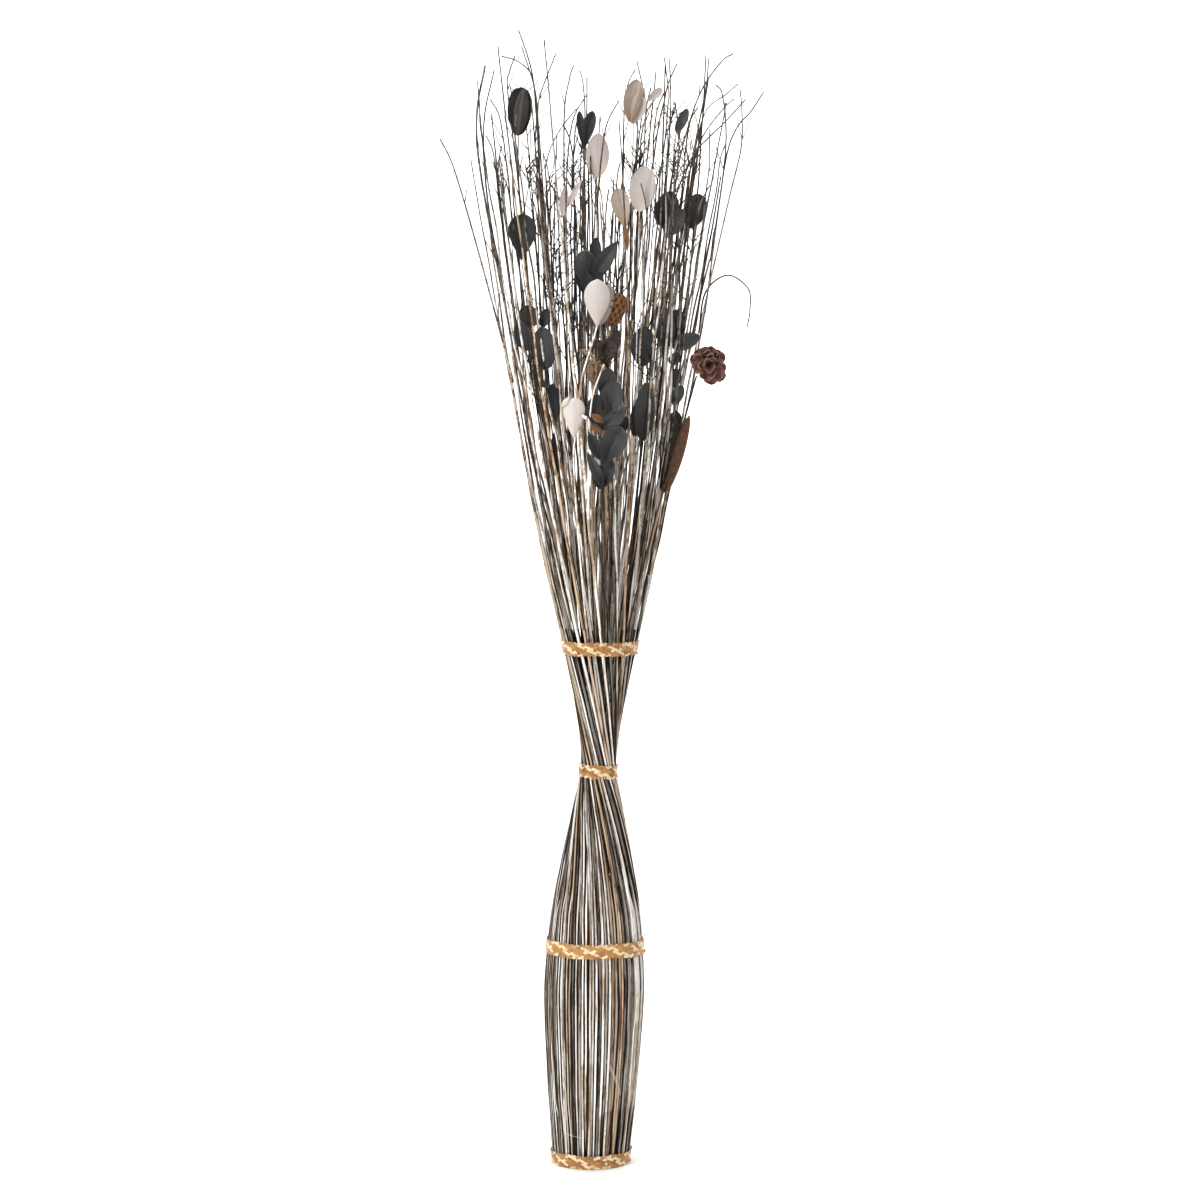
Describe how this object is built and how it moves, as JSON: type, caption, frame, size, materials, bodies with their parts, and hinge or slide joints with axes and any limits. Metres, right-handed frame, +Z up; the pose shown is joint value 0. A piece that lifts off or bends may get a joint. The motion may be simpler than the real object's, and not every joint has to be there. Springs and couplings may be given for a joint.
{
  "type": "bunch of reeds",
  "caption": "Tall standing bunch of dried reeds, tied with plaited straw bands, twisted at a narrow waist and fanned out above with dried leaves and pods on stalks.",
  "frame": {"origin": "on the floor, under the middle of the bunch's outline", "axes": "+Z up along the bunch, -Y towards its front, +X to the right seen from the front"},
  "size_m": [0.341, 0.2769, 1.1961],
  "materials": {
    "straw": "golden plaited straw, cream and orange-brown strands",
    "white_reed": "whitewashed dry reed, thin uneven wash over grain",
    "grey_reed": "weathered grey dry reed",
    "tan_reed": "dry orange-tan reed",
    "dark_reed": "charcoal-dyed dry reed",
    "inner_reed": "dry reeds in the shade of the bunch",
    "cream_leaf": "dry bleached leaf, matte, faint veins",
    "charcoal_leaf": "dry charcoal-dyed leaf, satin, brown streaks",
    "brown_pod": "dry brown seed pod, rough"
  },
  "bodies": {
    "root": {"reed_01": "white_reed", "reed_02": "grey_reed", "reed_03": "tan_reed", "reed_04": "dark_reed", "reed_05": "grey_reed", "reed_06": "white_reed", "reed_07": "grey_reed", "reed_08": "tan_reed", "reed_09": "dark_reed", "reed_10": "grey_reed", "reed_11": "white_reed", "reed_12": "grey_reed", "reed_13": "tan_reed", "reed_14": "dark_reed", "reed_15": "grey_reed", "reed_16": "white_reed", "reed_17": "grey_reed", "reed_18": "tan_reed", "reed_19": "dark_reed", "reed_20": "grey_reed", "reed_21": "white_reed", "reed_22": "grey_reed", "reed_23": "tan_reed", "reed_24": "dark_reed", "reed_25": "grey_reed", "reed_26": "white_reed", "reed_27": "grey_reed", "reed_28": "tan_reed", "reed_29": "dark_reed", "reed_30": "grey_reed", "inner_reeds": "inner_reed", "foot_band": "straw", "belly_band": "straw", "waist_band": "straw", "collar_band": "straw", "charcoal_leaf_top_left": "charcoal_leaf", "charcoal_leaf_left": "charcoal_leaf", "charcoal_leaf_small": "charcoal_leaf", "charcoal_leaf_cup": "charcoal_leaf", "charcoal_leaf_jagged": "charcoal_leaf", "charcoal_leaf_low_right": "charcoal_leaf", "charcoal_heart": "charcoal_leaf", "charcoal_cluster_upper": "charcoal_leaf", "charcoal_cluster_left": "charcoal_leaf", "charcoal_cluster_right": "charcoal_leaf", "charcoal_spray_front": "charcoal_leaf", "charcoal_spray_upper_left": "charcoal_leaf", "charcoal_spray_upper_right": "charcoal_leaf", "cream_leaf_top": "cream_leaf", "cream_leaf_side": "cream_leaf", "cream_leaf_pale": "cream_leaf", "cream_leaf_large": "cream_leaf", "tan_leaf_teardrop": "cream_leaf", "white_leaf_teardrop": "cream_leaf", "white_leaf_folded": "cream_leaf", "brown_pod_pair": "brown_pod", "ribbed_pod": "brown_pod", "pleated_flower": "brown_pod", "long_pod": "brown_pod", "brown_strip_left": "brown_pod"}
  },
  "joints": []
}
